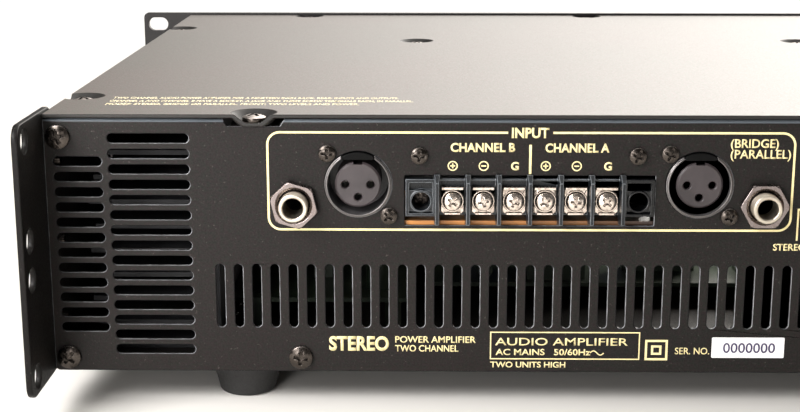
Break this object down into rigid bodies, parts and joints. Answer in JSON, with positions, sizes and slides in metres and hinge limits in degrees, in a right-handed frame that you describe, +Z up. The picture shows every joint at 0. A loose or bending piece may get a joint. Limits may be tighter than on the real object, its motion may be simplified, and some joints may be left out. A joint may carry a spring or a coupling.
{
  "type": "power amplifier",
  "caption": "Rack-mount stereo power amplifier with a vented steel case, rear rack brackets, sockets, jacks, screw terminals, speaker posts and a mains inlet.",
  "frame": {"origin": "centre of the four rack slots, on the rear face of the front panel", "axes": "+X to the right seen from the front, +Y from the front panel to the rear panel, +Z up"},
  "size_m": [0.48, 0.368, 0.1],
  "materials": {
    "case_paint": "fine textured black powder coat",
    "cover_paint": "fine textured black powder coat",
    "panel_paint": "smooth satin black",
    "plated_steel": "bright zinc plate",
    "black_screws": "black zinc plate, satin",
    "foot_rubber": "matte",
    "socket_metal": "black plated die casting",
    "insert_plastic": "matte",
    "latch_plastic": "satin",
    "silver_contacts": "silver plate",
    "jack_plastic": "satin",
    "nickel": "nickel plate, satin",
    "terminal_plastic": "satin",
    "brown_board": "varnished laminate",
    "green_board": "varnished laminate with its components",
    "post_black": "gloss",
    "post_red": "gloss",
    "gold_brass": "gold plate",
    "inlet_plastic": "satin",
    "winding": "yellow film tape over the winding",
    "clamp_steel": "zinc plate over rubber discs",
    "capacitor_sleeve": "shrink sleeve",
    "heat_sink_aluminium": "natural extrusion",
    "device_plastic": "moulded epoxy",
    "pot_metal": "zinc plate",
    "knob_plastic": "satin",
    "lens_plastic": "tinted",
    "switch_plastic": "satin",
    "wire_sleeve": "soft"
  },
  "bodies": {
    "chassis": {"chassis_tray": "case_paint", "top_cover": "cover_paint", "rear_panel": "case_paint", "front_panel": "panel_paint", "front_subpanel": "plated_steel", "cross_brace": "plated_steel", "rear_bracket_left": "case_paint", "rear_bracket_right": "case_paint", "case_screws": "black_screws", "rubber_feet": "foot_rubber", "xlr_shells": "socket_metal", "xlr_inserts": "insert_plastic", "xlr_contacts": "silver_contacts", "connector_screws": "black_screws", "jack_bodies": "jack_plastic", "jack_bushes": "nickel", "jack_nuts": "nickel", "terminal_block": "terminal_plastic", "terminal_contacts": "nickel", "input_board": "brown_board", "input_bracket": "plated_steel", "mode_switch_body": "plated_steel", "post_bases": "post_black", "post_studs": "gold_brass", "mains_inlet": "inlet_plastic", "mains_inlet_pins": "silver_contacts", "toroidal_transformer": "winding", "transformer_clamp": "clamp_steel", "filter_capacitors": "capacitor_sleeve", "power_supply_board": "green_board", "heat_sinks": "heat_sink_aluminium", "output_transistors": "device_plastic", "amplifier_boards": "green_board", "front_board": "green_board", "level_pots": "pot_metal", "led_lenses": "lens_plastic", "power_switch_body": "switch_plastic", "wiring_harness": "wire_sleeve"},
    "power_rocker": {"power_rocker": "switch_plastic"},
    "level_knob_a": {"level_knob_a": "knob_plastic"},
    "level_knob_b": {"level_knob_b": "knob_plastic"},
    "mode_slider": {"mode_switch_slider": "switch_plastic"},
    "xlr_latch_a": {"xlr_latch_a": "latch_plastic"},
    "xlr_latch_b": {"xlr_latch_b": "latch_plastic"},
    "clamp_1": {"clamp_plate_1": "nickel"},
    "terminal_screw_1": {"terminal_screw_1": "nickel"},
    "clamp_2": {"clamp_plate_2": "nickel"},
    "terminal_screw_2": {"terminal_screw_2": "nickel"},
    "clamp_3": {"clamp_plate_3": "nickel"},
    "terminal_screw_3": {"terminal_screw_3": "nickel"},
    "clamp_4": {"clamp_plate_4": "nickel"},
    "terminal_screw_4": {"terminal_screw_4": "nickel"},
    "clamp_5": {"clamp_plate_5": "nickel"},
    "terminal_screw_5": {"terminal_screw_5": "nickel"},
    "clamp_6": {"clamp_plate_6": "nickel"},
    "terminal_screw_6": {"terminal_screw_6": "nickel"},
    "post_cap_a_plus": {"post_cap_a_plus": "post_red"},
    "post_cap_a_minus": {"post_cap_a_minus": "post_black"},
    "post_cap_b_plus": {"post_cap_b_plus": "post_red"},
    "post_cap_b_minus": {"post_cap_b_minus": "post_black"}
  },
  "joints": [
    {"name": "power_switch", "type": "hinge", "parent": "chassis", "child": "power_rocker", "pos_m": [-0.178, -0.0015, 0], "axis": [-1, 0, 0], "range_deg": [0, 18]},
    {"name": "level_a", "type": "hinge", "parent": "chassis", "child": "level_knob_a", "pos_m": [0.07, -0.004, 0], "axis": [0, 1, 0], "range_deg": [-150, 150]},
    {"name": "level_b", "type": "hinge", "parent": "chassis", "child": "level_knob_b", "pos_m": [0.15, -0.004, 0], "axis": [0, 1, 0], "range_deg": [-150, 150]},
    {"name": "mode_switch", "type": "slide", "parent": "chassis", "child": "mode_slider", "axis": [-1, 0, 0], "range_m": [0, 0.006]},
    {"name": "latch_push_a", "type": "slide", "parent": "chassis", "child": "xlr_latch_a", "axis": [0, -1, 0], "range_m": [0, 0.002]},
    {"name": "latch_push_b", "type": "slide", "parent": "chassis", "child": "xlr_latch_b", "axis": [0, -1, 0], "range_m": [0, 0.002]},
    {"name": "clamp_lift_1", "type": "slide", "parent": "chassis", "child": "clamp_1", "axis": [0, 1, 0], "range_m": [0, 0.003]},
    {"name": "screw_turn_1", "type": "hinge", "parent": "clamp_1", "child": "terminal_screw_1", "pos_m": [0.0828, 0.312, 0.0146], "axis": [0, 1, 0], "range_deg": [0, 2160]},
    {"name": "clamp_lift_2", "type": "slide", "parent": "chassis", "child": "clamp_2", "axis": [0, 1, 0], "range_m": [0, 0.003]},
    {"name": "screw_turn_2", "type": "hinge", "parent": "clamp_2", "child": "terminal_screw_2", "pos_m": [0.0728, 0.312, 0.0146], "axis": [0, 1, 0], "range_deg": [0, 2160]},
    {"name": "clamp_lift_3", "type": "slide", "parent": "chassis", "child": "clamp_3", "axis": [0, 1, 0], "range_m": [0, 0.003]},
    {"name": "screw_turn_3", "type": "hinge", "parent": "clamp_3", "child": "terminal_screw_3", "pos_m": [0.0628, 0.312, 0.0146], "axis": [0, 1, 0], "range_deg": [0, 2160]},
    {"name": "clamp_lift_4", "type": "slide", "parent": "chassis", "child": "clamp_4", "axis": [0, 1, 0], "range_m": [0, 0.003]},
    {"name": "screw_turn_4", "type": "hinge", "parent": "clamp_4", "child": "terminal_screw_4", "pos_m": [0.0528, 0.312, 0.0146], "axis": [0, 1, 0], "range_deg": [0, 2160]},
    {"name": "clamp_lift_5", "type": "slide", "parent": "chassis", "child": "clamp_5", "axis": [0, 1, 0], "range_m": [0, 0.003]},
    {"name": "screw_turn_5", "type": "hinge", "parent": "clamp_5", "child": "terminal_screw_5", "pos_m": [0.0428, 0.312, 0.0146], "axis": [0, 1, 0], "range_deg": [0, 2160]},
    {"name": "clamp_lift_6", "type": "slide", "parent": "chassis", "child": "clamp_6", "axis": [0, 1, 0], "range_m": [0, 0.003]},
    {"name": "screw_turn_6", "type": "hinge", "parent": "clamp_6", "child": "terminal_screw_6", "pos_m": [0.0328, 0.312, 0.0146], "axis": [0, 1, 0], "range_deg": [0, 2160]},
    {"name": "post_a_plus", "type": "slide", "parent": "chassis", "child": "post_cap_a_plus", "axis": [0, 1, 0], "range_m": [0, 0.006]},
    {"name": "post_a_minus", "type": "slide", "parent": "chassis", "child": "post_cap_a_minus", "axis": [0, 1, 0], "range_m": [0, 0.006]},
    {"name": "post_b_plus", "type": "slide", "parent": "chassis", "child": "post_cap_b_plus", "axis": [0, 1, 0], "range_m": [0, 0.006]},
    {"name": "post_b_minus", "type": "slide", "parent": "chassis", "child": "post_cap_b_minus", "axis": [0, 1, 0], "range_m": [0, 0.006]}
  ],
  "couplings": [
    {"joint": "screw_turn_1", "follows": "clamp_lift_1", "rad_per_m": 12566},
    {"joint": "screw_turn_2", "follows": "clamp_lift_2", "rad_per_m": 12566},
    {"joint": "screw_turn_3", "follows": "clamp_lift_3", "rad_per_m": 12566},
    {"joint": "screw_turn_4", "follows": "clamp_lift_4", "rad_per_m": 12566},
    {"joint": "screw_turn_5", "follows": "clamp_lift_5", "rad_per_m": 12566},
    {"joint": "screw_turn_6", "follows": "clamp_lift_6", "rad_per_m": 12566}
  ]
}
